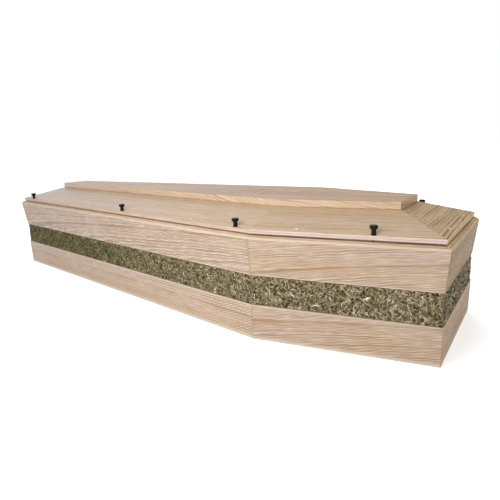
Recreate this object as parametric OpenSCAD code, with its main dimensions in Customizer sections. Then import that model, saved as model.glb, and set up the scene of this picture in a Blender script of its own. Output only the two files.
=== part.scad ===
// Six-sided wooden coffin: boarded walls with a band of pressed hay, and a lift-off hipped lid.
// Millimetres.  Head end towards +X, left side towards -Y, underside on Z = 0,
// origin under the middle of the rim.

/* [Plan at the rim] */
// Length over the rim, foot end to head end
overall_length = 2000; // [1500:10:2300]
// Width of the foot end
foot_width = 430; // [380:5:560]
// Width across the shoulders
shoulder_width = 685; // [600:5:850]
// Width of the head end
head_width = 450; // [390:5:580]
// Distance from the head end back to the shoulders
shoulder_from_head = 505; // [380:5:700]

/* [Body walls] */
// Height of the lower boards
lower_board_height = 107; // [60:1:160]
// Height of the hay panels between the boards
hay_panel_height = 89; // [40:1:140]
// Height of the outer face of the upper boards, up to the rim
upper_board_height = 110; // [70:1:160]
// Thickness of the wall boards
wall_thickness = 28; // [24:0.5:34]
// How far the foot of the wall stands in from the rim
foot_of_wall_inset = 16; // [13:0.5:40]
// How far the wall stands in from the rim along the hay panels
waist_inset = 13; // [4:0.5:16]
// How far the hay panels lie back from the faces of the boards
hay_recess = 3; // [1:0.5:8]
// Width of the chamfer outside the rim
rim_chamfer_width = 11; // [4:0.5:12]
// Height of the chamfer above the rim
rim_chamfer_height = 9; // [4:0.5:20]

/* [Floor] */
// Thickness of the floor board
floor_thickness = 18; // [9:1:30]
// Gap between the floor board and the walls
floor_fit = 0.2; // [0.1:0.1:1]

/* [Lid] */
// How far the lid's edge stands in from the rim
lid_inset = 13; // [11:0.5:14]
// Height of the shadow gap under the lid's edge
shadow_gap_height = 3; // [2:0.5:6]
// Depth of the shadow gap
shadow_gap_depth = 6; // [3:0.5:7]
// Height of the lid's moulded edge
lid_edge_height = 12; // [8:0.5:13]
// How far each of the two rolls of the moulded edge swells out
edge_roll_swell = 1.2; // [0.6:0.1:2]
// Rise of the sloping boards above the moulded edge
lid_rise = 43; // [34:1:60]
// Run of the sloping boards along the sides
side_slope_run = 154; // [110:1:160]
// Run of the sloping board at the head end
head_slope_run = 144; // [100:1:180]
// Run of the sloping board at the foot end
foot_slope_run = 129; // [100:1:180]
// Thickness of the sloping boards
lid_board_thickness = 19; // [18:0.5:22]
// How far the sloping boards reach in under the raised board
slope_lap = 22; // [10:1:24]
// Thickness of the raised board on top
raised_board_thickness = 22; // [12:1:35]

/* [Lid screws] */
// Distance of the screws in from the rim
screw_inset = 21; // [19.5:0.5:23]
// First screw, from the foot end
first_screw_from_foot = 100; // [60:5:240]
// Second screw, back from the shoulders
second_screw_from_shoulder = 635; // [300:5:700]
// Third screw, back from the shoulders
third_screw_from_shoulder = 60; // [30:5:200]
// Fourth screw, back from the head end
fourth_screw_from_head = 175; // [60:5:300]
// Diameter of the screw's shank
shank_diameter = 6; // [4:0.5:8]
// Gap between a shank and its hole
shank_fit = 0.15; // [0.1:0.05:0.5]
// How far the shank reaches down into the wall
shank_grip = 45; // [20:1:60]
// Diameter of the knob's neck
knob_neck_diameter = 12.4; // [10:0.2:15]
// Diameter of the knob's head
knob_head_diameter = 21; // [17:0.5:28]
// Height of the whole knob
knob_height = 25.5; // [20:0.5:34]
// Height of the knob's neck
knob_neck_height = 14; // [8:0.5:16]
// How far the knob is let into the slope
knob_sink = 1.8; // [1:0.1:3]

/* [Plugs in the lid] */
// Diameter of the plugs
plug_diameter = 7; // [4:0.5:10]
// Depth of a plug's hole
plug_depth = 10; // [6:0.5:12]
// How far a plug stands proud of the board
plug_proud = 0.6; // [0:0.1:1]
// Gap between a plug and its hole
plug_fit = 0.1; // [0.05:0.05:0.3]
// Distance of the plugs in from the rim
plug_inset = 29; // [27:0.5:60]
// Side plug behind the shoulders
plug_behind_shoulder = 258; // [150:2:320]
// Side plug ahead of the shoulders
plug_ahead_of_shoulder = 132; // [90:2:240]
// Head plugs, each side of the middle
head_plug_offset = 104; // [40:2:140]

/* [Hidden] */
$fn = 48;
BOARD_COLOUR = "#D2BC9F";
LID_COLOUR = "#C8AC88";
HAY_COLOUR = "#746E50";
PLUG_COLOUR = "#F0DEC4";
KNOB_COLOUR = "#17181B";

// The six sides in plan, anticlockwise from the left corner of the foot end.
SIDES = ["left_long", "left_short", "head", "right_short", "right_long", "foot"];
LEFT_LONG = 0;
LEFT_SHORT = 1;
HEAD = 2;
RIGHT_SHORT = 3;
RIGHT_LONG = 4;
FOOT = 5;

half_length = overall_length / 2;
shoulder_x = half_length - shoulder_from_head;
RIM = [
    [-half_length, -foot_width / 2],
    [shoulder_x, -shoulder_width / 2],
    [half_length, -head_width / 2],
    [half_length, head_width / 2],
    [shoulder_x, shoulder_width / 2],
    [-half_length, foot_width / 2]
];

// Levels from the underside up
hay_bottom_z = lower_board_height;
hay_top_z = hay_bottom_z + hay_panel_height;
rim_z = hay_top_z + upper_board_height;
body_top_z = rim_z + rim_chamfer_height;
lid_edge_z = body_top_z + shadow_gap_height;
slope_foot_z = lid_edge_z + lid_edge_height;
raised_board_z = slope_foot_z + lid_rise;

// Insets from the rim
wall_depth = foot_of_wall_inset + wall_thickness;
floor_inset = wall_depth + floor_fit;
inner_rim_inset = wall_thickness - waist_inset * rim_chamfer_height / upper_board_height;

// Long enough to reach past any corner before the mitres cut it
REACH = 300;
// The mitre planes run this share of their own length past both ends
MITRE_OVERRUN = 0.5;
// The hips run this share of the slope further in, under the raised board
HIP_OVERRUN = 0.3;

shank_radius = shank_diameter / 2;
neck_radius = knob_neck_diameter / 2;
knob_radius = knob_head_diameter / 2;
SHANK_ROOT = 1;
KNOB_FLARE = 3.7;
KNOB_EDGE = 1.5;
KNOB_FOOT_SWELL = 0.5;
KNOB_FOOT_HEIGHT = 2.5;
KNOB_SEAT_FIT = 0.4;
ROLL_STEPS = 6;

// Stations of the screws: [name, side, x]
SCREWS = [
    ["left_1", LEFT_LONG, -half_length + first_screw_from_foot],
    ["left_2", LEFT_LONG, shoulder_x - second_screw_from_shoulder],
    ["left_3", LEFT_LONG, shoulder_x - third_screw_from_shoulder],
    ["left_4", LEFT_SHORT, half_length - fourth_screw_from_head],
    ["right_1", RIGHT_LONG, -half_length + first_screw_from_foot],
    ["right_2", RIGHT_LONG, shoulder_x - second_screw_from_shoulder],
    ["right_3", RIGHT_LONG, shoulder_x - third_screw_from_shoulder],
    ["right_4", RIGHT_SHORT, half_length - fourth_screw_from_head]
];

// Stations of the plugs: [name, side, place in plan on the rim's own line]
PLUGS = [
    ["left_long", LEFT_LONG, at_x(LEFT_LONG, shoulder_x - plug_behind_shoulder)],
    ["left_short", LEFT_SHORT, at_x(LEFT_SHORT, shoulder_x + plug_ahead_of_shoulder)],
    ["head_left", HEAD, [half_length, -head_plug_offset]],
    ["head_right", HEAD, [half_length, head_plug_offset]],
    ["right_short", RIGHT_SHORT, at_x(RIGHT_SHORT, shoulder_x + plug_ahead_of_shoulder)],
    ["right_long", RIGHT_LONG, at_x(RIGHT_LONG, shoulder_x - plug_behind_shoulder)]
];

// ---- Plan geometry ----

function next(i) = (i + 1) % 6;
function before(i) = (i + 5) % 6;
function along(i) = let (v = RIM[next(i)] - RIM[i]) v / norm(v);
function outward(i) = [along(i)[1], -along(i)[0]];
function cross2(a, b) = a[0] * b[1] - a[1] * b[0];

// Where the line through p along d meets the line through q along e
function meet(p, d, q, e) = p + d * cross2(q - p, e) / cross2(d, e);

// insets is [sides, head end, foot end]
function even(inset) = [inset, inset, inset];
function inset_of(i, insets) = i == HEAD ? insets[1] : i == FOOT ? insets[2] : insets[0];
function on_line(i, insets) = RIM[i] - outward(i) * inset_of(i, insets);

// Corner i of the outline that stands in from the rim by the given insets
function corner(i, insets) = let (j = before(i))
    meet(on_line(j, insets), along(j), on_line(i, insets), along(i));
function outline(insets) = [for (i = [0:5]) corner(i, insets)];

// Point of the rim's side i at a given x
function at_x(i, x) = RIM[i] + along(i) * (x - RIM[i][0]) / along(i)[0];

// Plan area of side i between its two mitres, which pass through the corners at both insets
function mitred_area(i, outer, inner) = let (
        a = corner(i, outer),
        b = corner(next(i), outer),
        c = corner(next(i), inner),
        d = corner(i, inner)
    )
    [
        a + (a - d) * MITRE_OVERRUN,
        b + (b - c) * MITRE_OVERRUN,
        c,
        d
    ];

// Runs a cross-section along side i.  The section's x is the distance out from the rim
// and its y is the height.
module run_along(i) {
    far_end = RIM[next(i)] + along(i) * REACH;
    length = norm(RIM[next(i)] - RIM[i]) + 2 * REACH;
    translate([far_end[0], far_end[1], 0])
        rotate([90, 0, atan2(outward(i)[1], outward(i)[0])])
        linear_extrude(length)
        children();
}

// A board of side i, mitred at both ends
module mitred_board(i, section, outer, inner) {
    intersection() {
        run_along(i) polygon(section);
        linear_extrude(raised_board_z + REACH) polygon(mitred_area(i, outer, inner));
    }
}

// ---- Body ----

module wall_board(i, section) {
    mitred_board(i, section, even(0), even(wall_depth + wall_thickness));
}

module lower_board(i) {
    color(BOARD_COLOUR)
        wall_board(i, [
            [-foot_of_wall_inset, 0],
            [-waist_inset, hay_bottom_z],
            [-waist_inset - wall_thickness, hay_bottom_z],
            [-wall_depth, 0]
        ]);
}

module hay_panel(i) {
    color(HAY_COLOUR)
        wall_board(i, [
            [-waist_inset - hay_recess, hay_bottom_z],
            [-waist_inset - hay_recess, hay_top_z],
            [-waist_inset - wall_thickness, hay_top_z],
            [-waist_inset - wall_thickness, hay_bottom_z]
        ]);
}

module upper_board(i) {
    color(BOARD_COLOUR)
        difference() {
            wall_board(i, [
                [-waist_inset, hay_top_z],
                [0, rim_z],
                [-rim_chamfer_width, body_top_z],
                [-inner_rim_inset, body_top_z],
                [-waist_inset - wall_thickness, hay_top_z]
            ]);
            screw_holes(i);
        }
}

module floor_board() {
    color(BOARD_COLOUR)
        linear_extrude(floor_thickness)
        polygon(outline(even(floor_inset)));
}

// ---- Lid ----

function slope_run(i) = inset_of(i, [side_slope_run, head_slope_run, foot_slope_run]);
function slope_pitch(i) = lid_rise / slope_run(i);
function slope_angle(i) = atan(slope_pitch(i));

// Height of the top of slope i at an inset from the rim
function slope_z(i, inset) = slope_foot_z + (inset - lid_inset) * slope_pitch(i);

// Insets of the raised board, or of a line beyond it
function raised_insets(beyond) = [
    lid_inset + side_slope_run + beyond * side_slope_run,
    lid_inset + head_slope_run + beyond * head_slope_run,
    lid_inset + foot_slope_run + beyond * foot_slope_run
];

// One roll of the moulded edge, bulging out between two heights
function edge_roll(bottom_z, top_z) = [
    for (k = [0:ROLL_STEPS]) let (turn = 180 * k / ROLL_STEPS)
        [
            -lid_inset - edge_roll_swell * (1 - sin(turn)),
            (bottom_z + top_z) / 2 - cos(turn) * (top_z - bottom_z) / 2
        ]
];

function lid_section(i) = let (
        pitch = slope_pitch(i),
        depth = lid_board_thickness / cos(slope_angle(i)),
        crown_x = -lid_inset - slope_run(i),
        lap_x = crown_x - slope_lap,
        heel_run = (depth - lid_edge_height - shadow_gap_height) / pitch,
        middle_z = lid_edge_z + lid_edge_height / 2,
        gap_x = -lid_inset - shadow_gap_depth
    )
    concat(
        edge_roll(lid_edge_z, middle_z),
        edge_roll(middle_z, slope_foot_z - edge_roll_swell * pitch),
        [
            [crown_x, raised_board_z],
            [lap_x, raised_board_z],
            [lap_x, raised_board_z + slope_lap * pitch - depth],
            [-lid_inset - heel_run, body_top_z],
            [gap_x, body_top_z],
            [gap_x, lid_edge_z]
        ]
    );

module lid_slope(i) {
    color(LID_COLOUR)
        difference() {
            mitred_board(i, lid_section(i), even(lid_inset), raised_insets(HIP_OVERRUN));
            screw_holes(i);
            for (plug = PLUGS) {
                if (plug[1] == i) plug_place(plug) plug_hole();
            }
        }
}

module lid_raised_board() {
    color(LID_COLOUR)
        translate([0, 0, raised_board_z])
        linear_extrude(raised_board_thickness)
        polygon(outline(raised_insets(0)));
}

// ---- Lid screws ----

function knob_seat_z(i) = slope_z(i, screw_inset) - knob_sink;

module screw_place(screw) {
    spot = at_x(screw[1], screw[2]) - outward(screw[1]) * screw_inset;
    translate([spot[0], spot[1], knob_seat_z(screw[1])]) children();
}

function shank_length(i) = knob_seat_z(i) - body_top_z + shank_grip;

module lid_screw(screw) {
    i = screw[1];
    color(KNOB_COLOUR)
        screw_place(screw) {
            translate([0, 0, -shank_length(i)]) cylinder(h = shank_length(i) + SHANK_ROOT, r = shank_radius);
            rotate_extrude() polygon([
                [0, 0],
                [neck_radius + KNOB_FOOT_SWELL, 0],
                [neck_radius, KNOB_FOOT_HEIGHT],
                [neck_radius, knob_neck_height],
                [knob_radius, knob_neck_height + KNOB_FLARE],
                [knob_radius, knob_height - KNOB_EDGE],
                [knob_radius - KNOB_EDGE, knob_height],
                [0, knob_height]
            ]);
        }
}

// Holes for every screw of side i, with a flat seat under the knob
module screw_holes(i) {
    hole_radius = shank_radius + shank_fit;
    hole_depth = shank_length(i) + shank_fit;
    for (screw = SCREWS) {
        if (screw[1] == i) screw_place(screw) {
            translate([0, 0, -hole_depth]) cylinder(h = hole_depth + lid_edge_height, r = hole_radius);
            cylinder(h = lid_edge_height, r = neck_radius + KNOB_FOOT_SWELL + KNOB_SEAT_FIT);
        }
    }
}

// ---- Plugs ----

// Puts its children on slope i at the plug's place, square to the slope
module plug_place(plug) {
    i = plug[1];
    spot = plug[2] - outward(i) * plug_inset;
    translate([spot[0], spot[1], slope_z(i, plug_inset)])
        rotate([0, 0, atan2(outward(i)[1], outward(i)[0])])
        rotate([0, slope_angle(i), 0])
        children();
}

module plug_hole() {
    translate([0, 0, -plug_depth]) cylinder(h = 2 * plug_depth, r = plug_diameter / 2 + plug_fit);
}

module lid_plug(plug) {
    color(PLUG_COLOUR)
        plug_place(plug)
        translate([0, 0, -plug_depth])
        cylinder(h = plug_depth + plug_proud, r = plug_diameter / 2);
}

// ---- The coffin ----

floor_board();
for (i = [0:5]) {
    lower_board(i);
    hay_panel(i);
    upper_board(i);
    lid_slope(i);
}
lid_raised_board();
for (screw = SCREWS) {
    lid_screw(screw);
}
for (plug = PLUGS) {
    lid_plug(plug);
}
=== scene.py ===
"""The looks of a six-sided wooden coffin: boarded walls round a band of pressed hay, and a hipped
lid that lifts off.

Metres, head end towards +X, left side towards -Y, underside on Z = 0.
"""

import math

import bmesh
import bpy
import numpy as np
from mathutils import Matrix, Vector


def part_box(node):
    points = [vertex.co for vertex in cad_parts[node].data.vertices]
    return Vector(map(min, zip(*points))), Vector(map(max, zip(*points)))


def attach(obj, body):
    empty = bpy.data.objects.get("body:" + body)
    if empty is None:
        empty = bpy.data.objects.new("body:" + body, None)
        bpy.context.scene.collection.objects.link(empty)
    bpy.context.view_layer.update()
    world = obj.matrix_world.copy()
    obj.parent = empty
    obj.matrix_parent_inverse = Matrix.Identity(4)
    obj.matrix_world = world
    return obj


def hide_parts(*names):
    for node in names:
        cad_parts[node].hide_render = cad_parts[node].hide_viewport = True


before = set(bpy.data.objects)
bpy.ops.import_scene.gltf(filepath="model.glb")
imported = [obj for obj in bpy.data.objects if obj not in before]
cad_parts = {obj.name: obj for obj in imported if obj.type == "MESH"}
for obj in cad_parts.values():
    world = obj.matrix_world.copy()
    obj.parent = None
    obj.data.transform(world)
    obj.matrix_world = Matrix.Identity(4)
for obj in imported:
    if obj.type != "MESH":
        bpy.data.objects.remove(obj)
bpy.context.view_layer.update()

MM = 0.001
SIDES = ["left_long", "left_short", "head", "right_short", "right_long", "foot"]
UP = Vector((0, 0, 1))
ALONG_COFFIN = Vector((1, 0, 0))
LEVEL = (0, 0, 0)


# ---- The camera, the lights and the floor ----

CAMERA_PLACE = (1.169, -1.267, 0.573)
# Turns in degrees, the lens in millimetres, and the shift as a share of the picture's width
CAMERA_YAW = 35.53
CAMERA_PITCH = -9.92
CAMERA_ROLL = -1.91
CAMERA_LENS = 30.28
CAMERA_SHIFT_Y = -0.07


def make_camera():
    """A camera off the near corner of the head end, looking back towards the foot."""
    yaw = math.radians(CAMERA_YAW)
    pitch = math.radians(CAMERA_PITCH)
    roll = math.radians(CAMERA_ROLL)
    data = bpy.data.cameras.new("camera")
    data.lens = CAMERA_LENS
    data.shift_y = CAMERA_SHIFT_Y
    camera = bpy.data.objects.new("camera", data)
    aim = Matrix.Rotation(yaw, 4, "Z") @ Matrix.Rotation(math.pi / 2 + pitch, 4, "X")
    camera.matrix_world = Matrix.Translation(CAMERA_PLACE) @ aim @ Matrix.Rotation(roll, 4, "Z")
    bpy.context.scene.collection.objects.link(camera)
    bpy.context.scene.camera = camera


# Each light: name, place, aim, width in metres and power in watts
LIGHTS = [
    ("key_light", (0.4, -1.5, 0.95), (0.4, -0.2, 0.2), 1.0, 17),
    ("back_fill", (-0.6, 3.4, 2.2), (0.0, 0.0, 0.2), 2.4, 60),
]
# The surrounding light's strength and colour towards the foot and the head, and where along X the
# one turns into the other
STUDIO_FOOT_LIGHT = 1.04
STUDIO_HEAD_LIGHT = 0.5
STUDIO_TURN = (-1.0, 0.15)
STUDIO_FOOT_COLOUR = (0.95, 1.0, 1.1, 1)
WHITE = (1, 1, 1, 1)
FLOOR_SIZE = 60
FLOOR_WHITE = 0.8
FLOOR_GLOW = 0.56


def make_light(name, place, aim, size, power):
    """A round soft light that shows neither in the picture nor in reflections."""
    data = bpy.data.lights.new(name, "AREA")
    data.shape = "DISK"
    data.size = size
    data.energy = power
    light = bpy.data.objects.new(name, data)
    light.location = place
    light.rotation_euler = (Vector(aim) - Vector(place)).to_track_quat("-Z", "Y").to_euler()
    light.visible_camera = False
    light.visible_glossy = False
    bpy.context.scene.collection.objects.link(light)


def make_studio():
    """Soft light from all round, weaker from the head's side, with a white background behind."""
    world = bpy.data.worlds.new("studio")
    world.use_nodes = True
    tree = world.node_tree
    g = Graph(tree)
    way = g.add("ShaderNodeTexCoord", {}).outputs["Generated"]
    to_head = g.add("ShaderNodeSeparateXYZ", {0: way}).outputs["X"]
    light = g.ramp_up(to_head, *STUDIO_TURN, STUDIO_FOOT_LIGHT, STUDIO_HEAD_LIGHT)
    seen = g.add("ShaderNodeLightPath", {}).outputs["Is Camera Ray"]
    background = tree.nodes["Background"]
    tint = g.mix(g.ramp_up(to_head, *STUDIO_TURN), STUDIO_FOOT_COLOUR, WHITE)
    g.put(background.inputs["Color"], g.mix(seen, tint, WHITE))
    g.put(background.inputs["Strength"], g.math("MAXIMUM", seen, light))
    bpy.context.scene.world = world
    bpy.context.scene.view_settings.view_transform = "Standard"


def make_floor():
    """A pale floor that glows just enough to be as white as the background."""
    material = bpy.data.materials.new("floor")
    material.use_nodes = True
    surface = material.node_tree.nodes["Principled BSDF"]
    surface.inputs["Base Color"].default_value = (FLOOR_WHITE, FLOOR_WHITE, FLOOR_WHITE, 1)
    surface.inputs["Roughness"].default_value = 1.0
    surface.inputs["Specular IOR Level"].default_value = 0.0
    surface.inputs["Emission Color"].default_value = WHITE
    surface.inputs["Emission Strength"].default_value = FLOOR_GLOW
    half = FLOOR_SIZE / 2
    mesh = bpy.data.meshes.new("floor")
    corners = [(-half, -half, 0), (half, -half, 0), (half, half, 0), (-half, half, 0)]
    mesh.from_pydata(corners, [], [(0, 1, 2, 3)])
    mesh.materials.append(material)
    floor = bpy.data.objects.new("floor", mesh)
    bpy.context.scene.collection.objects.link(floor)


# ---- The coffin's plan, read from the frame ----

def extreme(node, direction):
    """The vertex of a CAD node that lies furthest along a direction."""
    towards = Vector(direction)
    return max((v.co.copy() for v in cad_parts[node].data.vertices), key=towards.dot)


# The corners of the rim, from the foot end's near corner round by the head
RIM = [
    extreme("upper_board_foot", (-1, -1, 0)),
    extreme("upper_board_left_long", (0, -1, 0)),
    extreme("upper_board_head", (1, -1, 0)),
    extreme("upper_board_head", (1, 1, 0)),
    extreme("upper_board_right_long", (0, 1, 0)),
    extreme("upper_board_foot", (-1, 1, 0)),
]


def run_of(i):
    """Side i of the rim, from its first corner to its second."""
    return RIM[(i + 1) % len(RIM)] - RIM[i]


def along(i):
    """Side i's own direction."""
    return run_of(i).normalized()


def outward(i):
    """The level direction straight out of side i."""
    return along(i).cross(UP)


def heading(i):
    """Side i's turn about Z."""
    return math.atan2(along(i).y, along(i).x)


def middle(i, height):
    """The middle of side i of the rim in plan, at a height."""
    centre = RIM[i] + run_of(i) / 2
    return Vector((centre.x, centre.y, height))


# ---- Node helpers ----

def linear(red, green, blue):
    """A colour given as 0 to 255 in sRGB, as the linear colour that a socket takes."""
    def channel(value):
        share = value / 255
        return share / 12.92 if share <= 0.04045 else ((share + 0.055) / 1.055) ** 2.4
    return (channel(red), channel(green), channel(blue), 1)


class Graph:
    """Adds nodes to a tree.  An input may be a number, a tuple or another node's output."""

    def __init__(self, tree):
        self.tree = tree

    def put(self, target, value):
        if isinstance(value, bpy.types.NodeSocket):
            self.tree.links.new(value, target)
        else:
            target.default_value = value

    def add(self, kind, inputs, **settings):
        node = self.tree.nodes.new(kind)
        for name, value in settings.items():
            setattr(node, name, value)
        for name, value in inputs.items():
            self.put(node.inputs[name], value)
        return node

    def math(self, operation, *values):
        inputs = dict(enumerate(values))
        return self.add("ShaderNodeMath", inputs, operation=operation).outputs[0]

    def vector(self, operation, *values):
        inputs = dict(enumerate(values))
        return self.add("ShaderNodeVectorMath", inputs, operation=operation).outputs["Vector"]

    def noise(self, vector, seed, detail=2.0):
        inputs = {"Vector": vector, "W": seed, "Scale": 1.0, "Detail": detail}
        return self.add("ShaderNodeTexNoise", inputs, noise_dimensions="4D")

    def line_noise(self, place, scale, detail):
        inputs = {"W": place, "Scale": scale, "Detail": detail}
        return self.add("ShaderNodeTexNoise", inputs, noise_dimensions="1D").outputs[0]

    def ramp_up(self, value, low, high, bottom=0.0, top=1.0):
        """Bottom below low, top above high, and smooth between them."""
        inputs = {"Value": value, 1: low, 2: high, 3: bottom, 4: top}
        return self.add("ShaderNodeMapRange", inputs, interpolation_type="SMOOTHSTEP").outputs[0]

    def mix(self, share, first, second, blend="MIX"):
        inputs = {0: share, 6: first, 7: second}
        return self.add("ShaderNodeMix", inputs, data_type="RGBA", blend_type=blend).outputs[2]


# ---- Wood ----

# Every length in the grain group is in millimetres.  Its place has the grain along x, the board's
# width along y and the board's outer face looking along z.
GRAIN_INPUTS = [
    "Seed",
    "Pith Across",
    "Pith Depth",
    "Taper",
    "Ring Width",
    "Waver",
    "Ripple",
    "Ripple Along",
    "Ripple Across",
]
GRAIN_OUTPUTS = ["Line", "Dash", "Fibre", "Band", "Ripple"]
# The span that nearly all of a noise's values lie in
NOISE_SPAN = (0.3, 0.7)
# How fine each noise is along the grain, across it and into the board, per millimetre
SLOW_WAVER = (0.0012, 0.010, 0.010)
QUICK_WAVER = (0.02, 0.05, 0.05)
PATCHES = (0.006, 0.03, 0.03)
DASHES = (0.022, 0.42, 0.0)
FIBRES = (0.03, 0.8, 0.8)
BANDS = (0.0016, 0.028, 0.028)
QUICK_WAVER_SIZE = 5.2
# Growth rings: how far their widths vary, in rings, and where in a year late wood starts and stops
RING_SCATTER = 2.2
LATE_WOOD_RISE = (0.2, 0.75)
LATE_WOOD_END = (0.86, 1.0)
# Strength of the late wood in a faint year and in a faint patch, and of the ripple in such a patch
FAINT_YEAR = 0.5
FAINT_PATCH = 0.45
FAINT_RIPPLE = 0.35


def grain_group():
    """Growth rings round a pith that lies behind the board, with dashes and fibres along the grain."""
    tree = bpy.data.node_groups.new("grain", "ShaderNodeTree")
    tree.interface.new_socket("Place", in_out="INPUT", socket_type="NodeSocketVector")
    for name in GRAIN_INPUTS:
        tree.interface.new_socket(name, in_out="INPUT", socket_type="NodeSocketFloat")
    for name in GRAIN_OUTPUTS:
        tree.interface.new_socket(name, in_out="OUTPUT", socket_type="NodeSocketFloat")
    g = Graph(tree)
    given = g.add("NodeGroupInput", {}).outputs
    place, seed = given["Place"], given["Seed"]

    def stretched(scale):
        return g.vector("MULTIPLY", place, scale)

    def wander(scale, size, detail):
        colour = g.noise(stretched(scale), seed, detail).outputs["Color"]
        offset = g.vector("SUBTRACT", colour, (0.5, 0.5, 0.5))
        reach = g.add("ShaderNodeCombineXYZ", {"X": 0.0, "Y": size, "Z": size}).outputs[0]
        return g.vector("MULTIPLY", offset, reach)

    slow = wander(SLOW_WAVER, given["Waver"], 1.0)
    quick = wander(QUICK_WAVER, QUICK_WAVER_SIZE, 2.0)
    bent = g.vector("ADD", place, g.vector("ADD", slow, quick))
    parts = g.add("ShaderNodeSeparateXYZ", {0: bent}).outputs
    across = g.math("SUBTRACT", parts["Y"], given["Pith Across"])
    rise = g.math("MULTIPLY_ADD", parts["X"], given["Taper"], given["Pith Depth"])
    depth = g.math("ADD", parts["Z"], rise)
    squares = g.math("MULTIPLY_ADD", across, across, g.math("MULTIPLY", depth, depth))
    radius = g.math("SQRT", squares)

    rings = g.math("DIVIDE", radius, given["Ring Width"])
    rings = g.math("MULTIPLY_ADD", g.line_noise(rings, 0.3, 1.0), RING_SCATTER, rings)
    year = g.math("FRACT", rings)
    late = g.ramp_up(year, *LATE_WOOD_END, 1.0, 0.0)
    late = g.math("MULTIPLY", g.ramp_up(year, *LATE_WOOD_RISE), late)
    strength = g.ramp_up(g.line_noise(rings, 0.9, 0.0), 0.25, 0.65, FAINT_YEAR, 1.0)
    patch = g.noise(stretched(PATCHES), seed, 1.0).outputs[0]
    strength = g.math("MULTIPLY", strength, g.ramp_up(patch, 0.3, 0.6, FAINT_PATCH, 1.0))
    line = g.math("MULTIPLY", late, strength)

    flow = g.add("ShaderNodeCombineXYZ", {"X": parts["X"], "Y": radius, "Z": 0.0}).outputs[0]
    dash = g.noise(g.vector("MULTIPLY", flow, DASHES), seed, 1.5).outputs[0]
    dash = g.ramp_up(dash, *NOISE_SPAN, -1.0, 1.0)

    slant = g.math("MULTIPLY", parts["X"], given["Ripple Along"])
    slant = g.math("MULTIPLY_ADD", parts["Y"], given["Ripple Across"], slant)
    ripple = g.ramp_up(patch, 0.35, 0.6, FAINT_RIPPLE, 1.0)
    ripple = g.math("MULTIPLY", g.math("SINE", slant), ripple)
    ripple = g.math("MULTIPLY", ripple, given["Ripple"])

    fibre = g.noise(stretched(FIBRES), seed, 2.0).outputs[0]
    band = g.ramp_up(g.noise(stretched(BANDS), seed, 2.0).outputs[0], *NOISE_SPAN)
    out = g.add("NodeGroupOutput", {})
    for name, value in zip(GRAIN_OUTPUTS, (line, dash, fibre, band, ripple)):
        g.put(out.inputs[name], value)


def palette(pale, banded, light, shade, late):
    """Pale early wood, its cooler bands, light dashes, dark dashes, and the late wood's lines."""
    return [linear(*colour) for colour in (pale, banded, light, shade, late)]


BOARD_COLOURS = palette(
    (172, 154, 141), (175, 153, 129), (197, 181, 166), (148, 123, 95), (138, 104, 68))
UPPER_LONG_COLOURS = palette(
    (171, 153, 141), (172, 151, 128), (196, 181, 167), (142, 118, 92), (126, 93, 61))
# The upper head board, darker than the lower partly as painted shade
SHADED_UPPER_HEAD_COLOURS = palette(
    (168, 140, 106), (150, 122, 88), (192, 166, 134), (124, 94, 60), (100, 70, 38))
LOWER_HEAD_COLOURS = palette(
    (186, 161, 137), (176, 151, 125), (201, 180, 158), (157, 130, 102), (132, 101, 68))
LID_COLOURS = palette(
    (198, 171, 139), (188, 161, 129), (210, 188, 160), (172, 143, 107), (152, 116, 76))
EDGE_COLOURS = palette(
    (194, 172, 154), (188, 164, 144), (206, 188, 174), (176, 150, 126), (160, 130, 100))
# The lid's moulded edge on the short sides, painted paler as a highlight along it
HIGHLIT_EDGE_COLOURS = palette(
    (202, 185, 174), (198, 178, 166), (214, 200, 192), (186, 163, 148), (172, 144, 122))
# The lid's moulded edge at the ends, lightened as painted light against the shade it stands in
LIT_HEAD_EDGE_COLOURS = palette(
    (214, 180, 132), (204, 168, 120), (226, 198, 154), (184, 146, 96), (150, 108, 60))
# The chamfers' wood, lighter than the boards' partly as painted light: at the ends much lighter, as
# painted light against the shade that the lid's edge casts there
LIT_HEAD_CHAMFER_COLOURS = palette(
    (228, 200, 150), (216, 186, 136), (238, 214, 172), (196, 162, 112), (160, 124, 78))
CHAMFER_COLOURS = palette(
    (197, 173, 150), (190, 163, 136), (212, 194, 178), (174, 146, 116), (156, 122, 88))
HEAD_SLOPE_COLOURS = palette(
    (213, 183, 138), (203, 170, 126), (226, 200, 164), (180, 146, 100), (124, 84, 42))
FOOT_SLOPE_COLOURS = palette(
    (200, 172, 134), (190, 162, 124), (210, 188, 154), (170, 140, 100), (134, 98, 56))
RAISED_COLOURS = palette(
    (202, 165, 118), (160, 124, 84), (214, 182, 140), (150, 112, 70), (136, 98, 58))
RAISED_SIDE_COLOURS = palette(
    (210, 190, 170), (206, 180, 150), (222, 208, 190), (190, 158, 126), (176, 138, 98))
RAISED_END_COLOURS = palette(
    (214, 178, 138), (196, 160, 124), (232, 204, 170), (168, 130, 98), (150, 110, 76))
PLUG_COLOURS = palette(
    (250, 232, 205), (240, 218, 190), (252, 240, 222), (225, 200, 170), (215, 185, 150))

GRAIN_SCALE = (MM, MM, MM)
# How strongly the fibres join the dashes, and the most that light and dark stripes change the colour
FIBRE_SHARE = 1.2
STRIPE_REACH = 1.2
LIGHT_STRIPES = 0.55
DARK_STRIPES = 0.6
# How strongly the paler edges, painted highlights along the arrises, and the browner board ends show,
# and how far in the ends and the painted shade of the joint reach
EDGE_PALING = 0.75
BROWN_END = 0.4
END_REACH = 8.0
# The painted shade in the joint under the lid: how far down it reaches and its colour
GAP_SHADE_REACH = 2.4
GAP_SHADE_COLOUR = linear(82, 52, 46)
LATE_WOOD_SHEEN = -0.08
GRAIN_BUMP = {"Strength": 0.25, "Distance": 0.3 * MM}
STRIPE_BUMP = 0.4
GLOSS = 0.35


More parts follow.
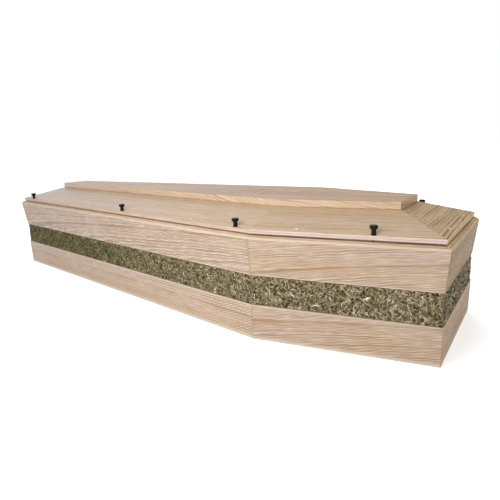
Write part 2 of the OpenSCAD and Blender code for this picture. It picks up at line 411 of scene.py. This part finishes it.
def wood(name, place, turn, colours, figure, line_depth=0.85, roughness=0.42, gloss=GLOSS,
         edges=(), end=0, gap=(0, 0)):
    """Wood for one board.  place and turn are the board's own origin and axes in the frame.

    edges holds the places across the board, each with a reach, where it is painted paler, mostly as
    painted highlights along its arrises.  end is how far from its origin the board ends, in millimetres,
    where it is browner.  gap is the height, in millimetres, and the strength of the painted shade in the
    joint under the lid.
    """
    material = bpy.data.materials.new(name)
    material.use_nodes = True
    tree = material.node_tree
    surface = tree.nodes["Principled BSDF"]
    g = Graph(tree)
    spot = g.add("ShaderNodeTexCoord", {}).outputs["Object"]
    inputs = {"Vector": spot, "Location": place, "Rotation": turn, "Scale": GRAIN_SCALE}
    mapped = g.add("ShaderNodeMapping", inputs, vector_type="TEXTURE").outputs[0]
    grain = g.add("ShaderNodeGroup", {}, node_tree=bpy.data.node_groups["grain"])
    g.put(grain.inputs["Place"], mapped)
    for socket, value in figure.items():
        g.put(grain.inputs[socket], value)
    out = grain.outputs
    pale, banded, light, shade, late = colours
    colour = g.mix(out["Band"], pale, banded)
    stripe = g.math("ADD", out["Dash"], out["Ripple"])
    stripe = g.math("MULTIPLY_ADD", g.math("SUBTRACT", out["Fibre"], 0.5), FIBRE_SHARE, stripe)
    colour = g.mix(g.ramp_up(stripe, 0.0, STRIPE_REACH, 0.0, LIGHT_STRIPES), colour, light)
    colour = g.mix(g.ramp_up(stripe, -STRIPE_REACH, 0.0, DARK_STRIPES, 0.0), colour, shade)
    colour = g.mix(g.math("MULTIPLY", out["Line"], line_depth), colour, late)
    spread = g.add("ShaderNodeSeparateXYZ", {0: mapped}).outputs
    # Painted highlight: paler towards each of these edges, where an arris would catch the light
    for edge, reach in edges:
        near = g.math("ABSOLUTE", g.math("SUBTRACT", spread["Y"], edge))
        colour = g.mix(g.ramp_up(near, 0.0, reach, EDGE_PALING, 0.0), colour, light)
    if end:
        near = g.ramp_up(g.math("ABSOLUTE", spread["X"]), end - END_REACH, end, 0.0, BROWN_END)
        colour = g.mix(near, colour, late)
    # Painted shade: darker just under the lid, where its edge shades the joint
    height, strength = gap
    if strength:
        near = g.ramp_up(spread["Y"], height - GAP_SHADE_REACH, height, 0.0, strength)
        colour = g.mix(near, colour, GAP_SHADE_COLOUR)
    g.put(surface.inputs["Base Color"], colour)
    g.put(surface.inputs["Roughness"], g.math("MULTIPLY_ADD", out["Line"], LATE_WOOD_SHEEN, roughness))
    surface.inputs["Specular IOR Level"].default_value = gloss
    relief = g.math("MULTIPLY_ADD", stripe, STRIPE_BUMP, out["Line"])
    g.put(surface.inputs["Normal"], g.add("ShaderNodeBump", {"Height": relief, **GRAIN_BUMP}).outputs[0])
    return material


# ---- Boards: the CAD's own shapes with their arrises eased ----

WALL_ARRIS = 1.4 * MM
LID_ARRIS = 0.3 * MM
JOINT_ARRIS = 0.25 * MM
ARRIS_STEPS = 3
WELD = 0.001 * MM
FLAT = math.radians(1)
SHARP = math.radians(20)
OUTER_CORNER = math.radians(110)
# A mitre face is upright, crosses the board's run and is larger than any flat in a screw's hole
UPRIGHT_SLACK = 0.001
MITRE_CROSSING = 0.3
MITRE_LEAST_AREA = 100 * MM * MM
SHORT_EDGE = 3 * MM
SHADING_ANGLE = math.radians(35)


def is_mitre(face, run):
    """A board's upright end face, which meets the next board."""
    upright = abs(face.normal.z) < UPRIGHT_SLACK
    return upright and abs(face.normal.dot(run)) > MITRE_CROSSING and face.calc_area() > MITRE_LEAST_AREA


def ease(mesh, run, arris, mitred):
    """Rounds the sharp edges of a board that runs along the direction run."""
    bm = bmesh.new()
    bm.from_mesh(mesh)
    bmesh.ops.remove_doubles(bm, verts=bm.verts, dist=WELD)
    bmesh.ops.dissolve_limit(bm, angle_limit=FLAT, verts=bm.verts, edges=bm.edges)

    def sharp_edges(at_joint):
        found = []
        for edge in bm.edges:
            if not edge.is_manifold or edge.calc_length() < SHORT_EDGE:
                continue
            turn = edge.calc_face_angle(0)
            joint = mitred and turn < OUTER_CORNER and any(is_mitre(f, run) for f in edge.link_faces)
            if turn > SHARP and joint == at_joint:
                found.append(edge)
        return found

    for width, at_joint in ((arris, False), (JOINT_ARRIS, True)):
        edges = sharp_edges(at_joint)
        bmesh.ops.bevel(bm, geom=edges, offset=width, offset_type="OFFSET", segments=ARRIS_STEPS,
                        profile=0.5, affect="EDGES", clamp_overlap=True)
    bm.to_mesh(mesh)
    bm.free()


def keep_inside(mesh, low, high):
    """Holds the eased board within the CAD board's own height."""
    for vertex in mesh.vertices:
        vertex.co.z = min(max(vertex.co.z, low.z), high.z)


def add_piece(name, mesh, slot, *nodes):
    """A piece of the visual model that stands for CAD nodes."""
    piece = bpy.data.objects.new(name, mesh)
    bpy.context.scene.collection.objects.link(piece)
    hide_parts(*nodes)
    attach(piece, "root")
    return piece


def board(node, run, material, slot, arris=WALL_ARRIS, mitred=True):
    """An eased copy of a CAD board stands for it."""
    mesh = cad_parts[node].data.copy()
    mesh.name = node + "_eased"
    ease(mesh, run, arris, mitred)
    keep_inside(mesh, *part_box(node))
    mesh.materials.clear()
    mesh.materials.append(material)
    mesh.shade_smooth()
    mesh.set_sharp_from_angle(angle=SHADING_ANGLE)
    piece = add_piece(node + "_eased", mesh, slot, node)
    flat = piece.modifiers.new("flat_faces", "WEIGHTED_NORMAL")
    flat.keep_sharp = True
    return piece


# Figure of each board, in the order of SIDES: pith across and behind, taper, ring width, and the
# strength, slant and spacing of its ripple
UPPER_FIGURES = [
    (170, 150, -0.05, 6.6, 0.8, 19, 8.5),
    (110, 150, -0.13, 4.2, 0.65, 13, 7),
    (120, 90, 0.12, 8.5, 0.8, 10, 17),
    (130, 120, 0.08, 5.0, 0.3, -9, 11),
    (160, 150, 0.05, 5.0, 0.4, -14, 12),
    (100, 110, -0.08, 5.0, 0.2, 8, 12),
]
LOWER_FIGURES = [
    (-130, 60, -0.02, 7.6, 1.2, 24, 8),
    (-80, 150, -0.11, 4.6, 0.8, 15, 8),
    (-70, 100, 0.05, 6.4, 0.5, 9, 15),
    (-40, 130, 0.06, 5.2, 0.3, -9, 11),
    (-90, 90, 0.04, 5.6, 0.5, -18, 10),
    (-60, 120, -0.06, 5.4, 0.2, 8, 12),
]
SLOPE_FIGURES = [
    (-150, 90, -0.02, 4.4, 0.2, 10, 12),
    (-120, 110, -0.03, 4.4, 0.2, 10, 12),
    (-30, 70, -0.02, 5.8, 0.2, 8, 14),
    (-130, 100, 0.03, 4.4, 0.2, -10, 12),
    (-140, 90, 0.02, 4.4, 0.2, -10, 12),
    (-40, 80, -0.10, 6.5, 0.2, 8, 14),
]
RAISED_FIGURE = (40, 60, 0.03, 9.0, 0.2, 5, 30)
RAISED_SIDE_FIGURE = (-90, 60, -0.12, 4.6, 0.1, -8, 8)
EDGE_FIGURE = (-90, 60, 0.01, 4.0, 0.1, 5, 12)
FLOOR_FIGURE = (-60, 90, 0.05, 5.0, 0.2, 8, 12)
PLUG_FIGURE = (0, 9, 0, 1.4, 0, 0, 12)
# Each board's noise has its own seed: its group's, and a step for each side
SEEDS = {
    "upper": 3,
    "lower": 40,
    "slope": 80,
    "slope_edge": 83,
    "raised": 121,
    "raised_side": 125,
    "floor": 131,
    "plug": 150,
}
WALL_SEED_STEP = 7
LID_SEED_STEP = 5


def figure_of(values, seed, waver=14.0):
    """One row of the tables above, as the grain group's inputs."""
    across, behind, taper, ring, ripple, slant, spacing = values
    turns = 2 * math.pi / spacing
    return {
        "Seed": float(seed),
        "Pith Across": float(across),
        "Pith Depth": float(behind),
        "Taper": taper,
        "Ring Width": ring,
        "Waver": waver,
        "Ripple": ripple,
        "Ripple Along": -turns * math.sin(math.radians(slant)),
        "Ripple Across": turns * math.cos(math.radians(slant)),
    }


def paint_faces(piece, material, chosen):
    """Gives one more material to the faces that chosen() picks."""
    piece.data.materials.append(material)
    for face in piece.data.polygons:
        if chosen(face):
            face.material_index = len(piece.data.materials) - 1


# How far, in millimetres, the boards are painted paler in from their edges, as highlights on the
# arrises, and up from the underside
ARRIS_REACH = 5.0
FOOT_REACH = 16.0
HEAD_GLOSS = 0.02
# How dark the painted shade in the joint under the lid shows
SHORT_SIDE_GAP_SHADE = 0.75
LONG_SIDE_GAP_SHADE = 0.3
# Chamfer faces lean back at least this much
CHAMFER_LEAST_UP = 0.1


def at_an_end(side):
    return side in ("head", "foot")


def gap_shade_strength(side):
    if at_an_end(side):
        return 0.0
    return SHORT_SIDE_GAP_SHADE if side.endswith("short") else LONG_SIDE_GAP_SHADE


def wall_colours(side, course):
    if not at_an_end(side):
        return UPPER_LONG_COLOURS if (course, side) == ("upper", "left_long") else BOARD_COLOURS
    # Painted shade: only the upper head board takes the darker palette, the foot's does not
    return SHADED_UPPER_HEAD_COLOURS if (course, side) == ("upper", "head") else LOWER_HEAD_COLOURS


def upright_turn(i):
    """Lays the grain along side i, with heights across it."""
    return (math.pi / 2, 0, heading(i))


def is_chamfer(face):
    return face.center.z > RIM[0].z and face.normal.z > CHAMFER_LEAST_UP


def add_chamfer(piece, node, i, side, seed, pale_edge):
    """The chamfer between the rim and the lid, in its own wood, made lighter than the board's partly as
    painted light, with painted shade in the joint under the lid.
    """
    colours = LIT_HEAD_CHAMFER_COLOURS if at_an_end(side) else CHAMFER_COLOURS
    figure = figure_of(EDGE_FIGURE, seed)
    # The painted shade under the lid: its height and strength
    joint = (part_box(node)[1].z / MM, gap_shade_strength(side))
    material = wood(node + "_chamfer", middle(i, 0), upright_turn(i), colours, figure,
                    gloss=HEAD_GLOSS, edges=[pale_edge], gap=joint)
    paint_faces(piece, material, is_chamfer)


def make_wall_board(i, side, course, figures):
    """The board of side i in one course, painted paler along its edges: highlights along the arrises by
    the hay and the chamfer, and a wider band up from the underside of the lower course.
    """
    node = f"{course}_board_{side}"
    upper = course == "upper"
    seed = WALL_SEED_STEP * i + SEEDS[course]
    low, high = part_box(node)
    top = RIM[0].z if upper else high.z
    # Where the board is painted paler: its lower and upper edges, mostly as painted highlights on the
    # arrises
    pale_low = (low.z / MM, ARRIS_REACH if upper else FOOT_REACH)
    pale_top = (top / MM, ARRIS_REACH)
    end = run_of(i).length / 2 / MM
    gloss = HEAD_GLOSS if at_an_end(side) else GLOSS
    material = wood(node, middle(i, 0), upright_turn(i), wall_colours(side, course),
                    figure_of(figures[i], seed), gloss=gloss, edges=[pale_low, pale_top], end=end)
    piece = board(node, along(i), material, "board_wood")
    if upper:
        add_chamfer(piece, node, i, side, seed + 1, pale_top)


def make_walls():
    for i, side in enumerate(SIDES):
        make_wall_board(i, side, "upper", UPPER_FIGURES)
        make_wall_board(i, side, "lower", LOWER_FIGURES)


# Top of the lid's moulded edge
LID_EDGE_TOP = 330.3 * MM
# A face of the raised board that looks up or down less than this is one of its sides
UPRIGHT = 0.5
HEAD_SLOPE_FINISH = {"line_depth": 1.0, "gloss": 0.15}
SIDE_SLOPE_FINISH = {"line_depth": 0.6, "roughness": 0.3}
NEAR_SLOPE_GLOSS = 0.5
FAR_SLOPE_GLOSS = 0.0
RAISED_TOP_FINISH = {"line_depth": 0.6, "roughness": 0.34, "gloss": 0.2}
RAISED_END_GLOSS = 0.2
RAISED_WAVER = 7.0


def facing(normal):
    """The side of the coffin that a direction points to most nearly."""
    return max(range(len(RIM)), key=lambda k: normal.dot(outward(k)))


def is_side_of(i, face):
    """Whether a face of the raised board belongs to side i."""
    return abs(face.normal.z) < UPRIGHT and facing(face.normal) == i


def edge_colours(side):
    # Painted light: the lid's edge is lighter at the ends and on the short sides than along the long
    # sides
    if at_an_end(side):
        return LIT_HEAD_EDGE_COLOURS
    return HIGHLIT_EDGE_COLOURS if side.endswith("short") else EDGE_COLOURS


def slope_wood(node, i, side, place, turn):
    figure = figure_of(SLOPE_FIGURES[i], LID_SEED_STEP * i + SEEDS["slope"])
    if side == "head":
        return wood(node, place, turn, HEAD_SLOPE_COLOURS, figure, **HEAD_SLOPE_FINISH)
    if side == "foot":
        return wood(node, place, turn, FOOT_SLOPE_COLOURS, figure, **HEAD_SLOPE_FINISH)
    gloss = NEAR_SLOPE_GLOSS if side.startswith("left") else FAR_SLOPE_GLOSS
    return wood(node, place, turn, LID_COLOURS, figure, gloss=gloss, **SIDE_SLOPE_FINISH)


def make_slope(i, side):
    """A sloping board of the lid, with its moulded edge in its own wood."""
    node = f"lid_slope_{side}"
    low = extreme(node, outward(i))
    # The outermost of its highest vertices
    crest = extreme(node, UP * 10 + outward(i))
    slope = math.atan2(crest.z - low.z, (low - crest).dot(outward(i)))
    place = middle(i, low.z)
    material = slope_wood(node, i, side, place, (slope, 0, heading(i)))
    piece = board(node, along(i), material, "lid_wood", LID_ARRIS)
    figure = figure_of(EDGE_FIGURE, LID_SEED_STEP * i + SEEDS["slope_edge"])
    edge = wood(node + "_edge", place, upright_turn(i), edge_colours(side), figure)
    paint_faces(piece, edge, lambda face: face.center.z < LID_EDGE_TOP)


def make_raised_board():
    """The flat board on top, with each of its sides in its own wood."""
    node = "lid_raised_board"
    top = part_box(node)[1].z
    figure = figure_of(RAISED_FIGURE, SEEDS["raised"], waver=RAISED_WAVER)
    material = wood(node, (0, 0, top), LEVEL, RAISED_COLOURS, figure, **RAISED_TOP_FINISH)
    piece = board(node, ALONG_COFFIN, material, "lid_wood", mitred=False)
    for i, side in enumerate(SIDES):
        colours = RAISED_END_COLOURS if at_an_end(side) else RAISED_SIDE_COLOURS
        figure = figure_of(RAISED_SIDE_FIGURE, SEEDS["raised_side"] + i)
        gloss = RAISED_END_GLOSS if at_an_end(side) else GLOSS
        material = wood(f"{node}_{side}", middle(i, top), upright_turn(i), colours, figure, gloss=gloss)
        paint_faces(piece, material, lambda face: is_side_of(i, face))


def make_lid():
    for i, side in enumerate(SIDES):
        make_slope(i, side)
    make_raised_board()


def make_floor_board():
    node = "floor_board"
    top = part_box(node)[1].z
    figure = figure_of(FLOOR_FIGURE, SEEDS["floor"])
    material = wood(node, (0, 0, top), LEVEL, BOARD_COLOURS, figure)
    board(node, ALONG_COFFIN, material, "board_wood", mitred=False)


PLUG_WAVER = 1.0
PLUG_LINE_DEPTH = 0.4
END_GRAIN_UP = (0, math.pi / 2, 0)


def make_plugs():
    figure = figure_of(PLUG_FIGURE, SEEDS["plug"], waver=PLUG_WAVER)
    for node in sorted(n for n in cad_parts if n.startswith("lid_plug_")):
        low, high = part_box(node)
        centre = (low + high) / 2
        material = wood(node, centre, END_GRAIN_UP, PLUG_COLOURS, figure, line_depth=PLUG_LINE_DEPTH)
        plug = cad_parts[node]
        plug.data.materials.clear()
        plug.data.materials.append(material)


# ---- Pressed hay ----

HAY_SEED = 20
RELIEF_CELL = 3.2 * MM
RELIEF_DEPTH = 2.6 * MM
EDGE_CLEARANCE = 0.6 * MM
# Tone of the panel's own face, and how much darker it is painted in its deepest pits, as painted shade
FACE_TONE = 0.3
PAINTED_PIT_SHADE = 0.28
# Outlines of the slivers, as (place along, share of the width)
STEM_RINGS = [(-0.5, 0.9), (0.5, 0.75)]
LEAF_RINGS = [(-0.5, 0.2), (0.0, 1.0), (0.5, 0.25)]
LONG_RINGS = [(-0.5, 0.7), (-0.2, 1.0), (0.15, 1.0), (0.5, 0.75)]
# Stems, leaf scraps, dark seeds, long stems, white straws and amber scraps: how many to a square
# millimetre, the length and width in millimetres, the outline, the tone as a place on the colour
# ramp, and the layer from deep (0) to the top (1)
STRAW_KINDS = [
    {"density": 0.028, "length": (5, 15), "width": (1.8, 3.8),
     "rings": STEM_RINGS, "tone": (0.12, 0.60), "layer": (0, 1)},
    {"density": 0.020, "length": (6, 14), "width": (3.2, 7.0),
     "rings": LEAF_RINGS, "tone": (0.08, 0.54), "layer": (0, 1)},
    {"density": 0.0022, "length": (4, 8), "width": (3.8, 6.5),
     "rings": LEAF_RINGS, "tone": (0.0, 0.0), "layer": (1.15, 1.25)},
    {"density": 0.0010, "length": (10, 22), "width": (1.8, 2.8),
     "rings": LONG_RINGS, "tone": (0.52, 0.68), "layer": (0.8, 1)},
    {"density": 0.00016, "length": (9, 22), "width": (1.8, 2.8),
     "rings": LONG_RINGS, "tone": (0.7, 0.8), "layer": (1, 1)},
    {"density": 0.00002, "length": (10, 16), "width": (4.0, 6.0),
     "rings": LEAF_RINGS, "tone": (0.94, 1.0), "layer": (1, 1)},
]
# Crown of a sliver as a share of its width, how far out of the face the lowest and highest layers
# lie, and the most that a sliver bends and tips
STRAW_THICKNESS = 0.35
LAYER_DEPTHS = (-1.4 * MM, 1.0 * MM)
BEND = 0.12
PITCH = 0.07
# Vertices of a panel this close in depth lie on the same face
SAME_DEPTH = 0.1 * MM


def panel_space(i, node):
    """A hay panel's spans: along the side at the face, along it at the back, in height and in depth."""
    start, run, out = middle(i, 0), along(i), outward(i)
    places = [v.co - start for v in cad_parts[node].data.vertices]
    depths = [p.dot(out) for p in places]
    face, back = max(depths), min(depths)

    def span(depth):
        found = [p.dot(run) for p in places if abs(p.dot(out) - depth) < SAME_DEPTH]
        return min(found), max(found)

    low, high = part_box(node)
    return span(face), span(back), (low.z, high.z), (back, face)


def relief_panel(rng, face_span, back_span, levels, depths):
    """The panel itself, closed, with a pitted face.  Returns points (along, height, depth) and faces."""
    columns = int((face_span[1] - face_span[0]) / RELIEF_CELL)
    rows = int((levels[1] - levels[0]) / RELIEF_CELL)
    across, up = np.meshgrid(np.linspace(*face_span, columns + 1), np.linspace(*levels, rows + 1))
    pits = np.zeros_like(across)
    pits[1:-1, 1:-1] = RELIEF_DEPTH * rng.random((rows - 1, columns - 1)) ** 2
    face = np.stack([across, up, depths[1] - pits], axis=-1).reshape(-1, 3)
    index = np.arange(face.shape[0]).reshape(rows + 1, columns + 1)
    faces = np.stack([index[:-1, :-1], index[:-1, 1:], index[1:, 1:], index[1:, :-1]], axis=-1)
    faces = faces.reshape(-1, 4).tolist()
    base = face.shape[0]
    back = [(back_span[a], levels[b], depths[0]) for b, a in ((0, 0), (0, 1), (1, 1), (1, 0))]
    faces.append([base + 3, base + 2, base + 1, base])
    faces.append([base, base + 1] + index[0, ::-1].tolist())
    faces.append([base + 2, base + 3] + index[-1].tolist())
    faces.append([base + 1, base + 2] + index[::-1, -1].tolist())
    faces.append([base + 3, base] + index[:, 0].tolist())
    return np.vstack([face, back]), faces


def straws(rng, kind, count, face_span, levels, face_depth):
    """Closed slivers with a low crown, lying on the panel's face."""
    length = rng.uniform(*kind["length"], count) * MM
    width = rng.uniform(*kind["width"], count) * MM
    heading_angle = rng.uniform(0, math.pi, count)
    cos, sin = np.cos(heading_angle), np.sin(heading_angle)
    reach_along = np.abs(cos) * length / 2 + width / 2 + EDGE_CLEARANCE
    reach_up = np.abs(sin) * length / 2 + width / 2 + EDGE_CLEARANCE
    centre_along = rng.uniform(*face_span, count)
    centre_along = np.clip(centre_along, face_span[0] + reach_along, face_span[1] - reach_along)
    centre_up = rng.uniform(*levels, count)
    centre_up = np.clip(centre_up, levels[0] + reach_up, levels[1] - reach_up)
    layer = rng.uniform(*kind["layer"], count)
    pitch = rng.uniform(-PITCH, PITCH, count)
    bend = rng.uniform(-BEND, BEND, count)
    tone = rng.uniform(*kind["tone"], count)
    rings = kind["rings"]
    points = np.zeros((count, len(rings), 3, 3))
    deep, shallow = LAYER_DEPTHS
    for k, (place, share) in enumerate(rings):
        forward = place * length
        # None at the ends, where place is a half either way
        sideways = bend * length * (0.25 - place * place)
        depth = face_depth + deep + (shallow - deep) * layer + pitch * forward
        half = share * width / 2
        crown = share * width * STRAW_THICKNESS
        for corner, (side, lift) in enumerate(((-half, 0), (0, crown), (half, 0))):
            points[:, k, corner, 0] = centre_along + cos * forward - sin * (sideways + side)
            points[:, k, corner, 1] = centre_up + sin * forward + cos * (sideways + side)
            points[:, k, corner, 2] = depth + lift
    per_straw = len(rings) * 3
    starts = np.arange(count) * per_straw
    faces = []
    for k in range(len(rings) - 1):
        here, there = k * 3, k * 3 + 3
        for a, b in ((0, 1), (1, 2), (2, 0)):
            quad = np.array([here + a, there + a, there + b, here + b])
            faces += (starts[:, None] + quad).tolist()
    last = per_straw - 3
    faces += (starts[:, None] + np.array([0, 1, 2])).tolist()
    faces += (starts[:, None] + np.array([last + 2, last + 1, last])).tolist()
    return points.reshape(-1, 3), faces, np.repeat(tone, per_straw)


# The hay is greener at the foot and, as painted shade, darker there, and paler past the shoulder as
# painted light
GREEN_SHADED_HAY = (0.64, 0.67, 0.48, 1)
PALE_LIT_HAY = (1.14, 1.15, 1.26, 1)
HAY_TURN = (-0.6, 0.9)
# Patches about a centimetre across
BROWNER_HAY = (1.18, 1.12, 1.10, 1)
GREENER_HAY = (0.86, 0.90, 0.80, 1)
HAY_PATCH_SCALE = (90, 90, 90)
FLECK_SCALE = (260, 260, 260)
FLECK_STRENGTH = 0.2
HAY_ROUGHNESS = 0.75
# The colour of each tone: painted shade in the pits and dark seeds, leaves, stems, pale stems, white
# straws and amber scraps
HAY_TONES = [
    (0.0, linear(14, 11, 8)),
    (0.15, linear(69, 58, 37)),
    (0.32, linear(113, 100, 68)),
    (0.48, linear(147, 133, 102)),
    (0.62, linear(172, 160, 136)),
    (0.8, linear(224, 220, 210)),
    (1.0, linear(206, 156, 62)),
]


def hay_material():
    """Coloured by each sliver's own tone, with finer flecks, patches and a drift along the coffin that
    is partly painted light and shade.
    """
    material = bpy.data.materials.new("pressed_hay")
    material.use_nodes = True
    tree = material.node_tree
    surface = tree.nodes["Principled BSDF"]
    g = Graph(tree)
    tone = g.add("ShaderNodeAttribute", {}, attribute_name="straw_tone").outputs["Fac"]
    spot = g.add("ShaderNodeTexCoord", {}).outputs["Object"]
    fleck = g.noise(g.vector("MULTIPLY", spot, FLECK_SCALE), 3.0).outputs[0]
    tone = g.math("MULTIPLY_ADD", g.math("SUBTRACT", fleck, 0.5), FLECK_STRENGTH, tone)
    ramp = g.add("ShaderNodeValToRGB", {0: tone})
    elements = ramp.color_ramp.elements
    while len(elements) < len(HAY_TONES):
        elements.new(0.5)
    for element, (place, colour) in zip(elements, HAY_TONES):
        element.position = place
        element.color = colour
    along_coffin = g.add("ShaderNodeSeparateXYZ", {0: spot}).outputs["X"]
    # Painted light and shade: darker and greener towards the foot, lighter past the shoulder
    tint = g.mix(g.ramp_up(along_coffin, *HAY_TURN), GREEN_SHADED_HAY, PALE_LIT_HAY)
    patch = g.noise(g.vector("MULTIPLY", spot, HAY_PATCH_SCALE), 5.0).outputs[0]
    hue = g.mix(g.ramp_up(patch, 0.4, 0.6), BROWNER_HAY, GREENER_HAY)
    tint = g.mix(1.0, tint, hue, "MULTIPLY")
    g.put(surface.inputs["Base Color"], g.mix(1.0, ramp.outputs[0], tint, "MULTIPLY"))
    surface.inputs["Roughness"].default_value = HAY_ROUGHNESS
    return material


def make_panel(rng, i, node, material):
    """One hay panel with its slivers, as a single mesh that carries each point's tone."""
    face_span, back_span, levels, depths = panel_space(i, node)
    points, faces = relief_panel(rng, face_span, back_span, levels, depths)
    # Painted shade: the deeper a pit, the darker its tone
    pitted = (depths[1] - points[:, 2]) / RELIEF_DEPTH
    tones = np.clip(FACE_TONE - PAINTED_PIT_SHADE * pitted, 0, 1)
    area = (face_span[1] - face_span[0]) * (levels[1] - levels[0]) / (MM * MM)
    for kind in STRAW_KINDS:
        count = round(area * kind["density"])
        more, more_faces, more_tones = straws(rng, kind, count, face_span, levels, depths[1])
        shift = len(points)
        faces += [[shift + corner for corner in face] for face in more_faces]
        points = np.vstack([points, more])
        tones = np.concatenate([tones, more_tones])
    start, run, out = (np.array(v) for v in (middle(i, 0), along(i), outward(i)))
    placed = start + points[:, :1] * run + points[:, 1:2] * np.array(UP) + points[:, 2:] * out
    mesh = bpy.data.meshes.new(node + "_straws")
    mesh.from_pydata(placed.tolist(), [], faces)
    tone = mesh.attributes.new("straw_tone", "FLOAT", "POINT")
    tone.data.foreach_set("value", tones.astype(np.float32))
    mesh.materials.append(material)
    add_piece(node + "_straws", mesh, "pressed_hay", node)


def make_hay():
    material = hay_material()
    rng = np.random.default_rng(HAY_SEED)
    for i, side in enumerate(SIDES):
        make_panel(rng, i, f"hay_panel_{side}", material)


# ---- Lid screws ----

# The shank below the slopes is dull brown, a guess at bare brass that also blends with the shade in the
# joint it crosses; the knob above is black, mottled between two tones
SHANK_TOP = 330.0 * MM
SHANK_SHADE_BROWN = linear(112, 82, 58)
BLACK = (linear(4, 4, 5), linear(9, 10, 12))
BLACK_ROUGHNESS = (0.3, 0.42)
BLACK_GLOSS = 0.2
MOTTLE_SCALE = (300, 300, 300)


def satin_black():
    """Black down to the slope, and dull brown, coloured like the shade in the joint under the lid, where
    the shank crosses it.
    """
    material = bpy.data.materials.new("black_screw")
    material.use_nodes = True
    tree = material.node_tree
    surface = tree.nodes["Principled BSDF"]
    g = Graph(tree)
    spot = g.add("ShaderNodeTexCoord", {}).outputs["Object"]
    mottle = g.noise(g.vector("MULTIPLY", spot, MOTTLE_SCALE), 1.0).outputs[0]
    height = g.add("ShaderNodeSeparateXYZ", {0: spot}).outputs["Z"]
    # Below the slope, the shank takes a brown that blends with the joint's shade
    above = g.math("GREATER_THAN", height, SHANK_TOP)
    g.put(surface.inputs["Base Color"], g.mix(above, SHANK_SHADE_BROWN, g.mix(mottle, *BLACK)))
    g.put(surface.inputs["Roughness"], g.ramp_up(mottle, *NOISE_SPAN, *BLACK_ROUGHNESS))
    surface.inputs["Specular IOR Level"].default_value = BLACK_GLOSS
    return material


def make_screws():
    material = satin_black()
    for node in sorted(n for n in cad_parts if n.startswith("lid_screw_")):
        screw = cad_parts[node]
        screw.data.materials.clear()
        screw.data.materials.append(material)


make_camera()
for light in LIGHTS:
    make_light(*light)
make_studio()
make_floor()
grain_group()
make_walls()
make_lid()
make_floor_board()
make_plugs()
make_hay()
make_screws()
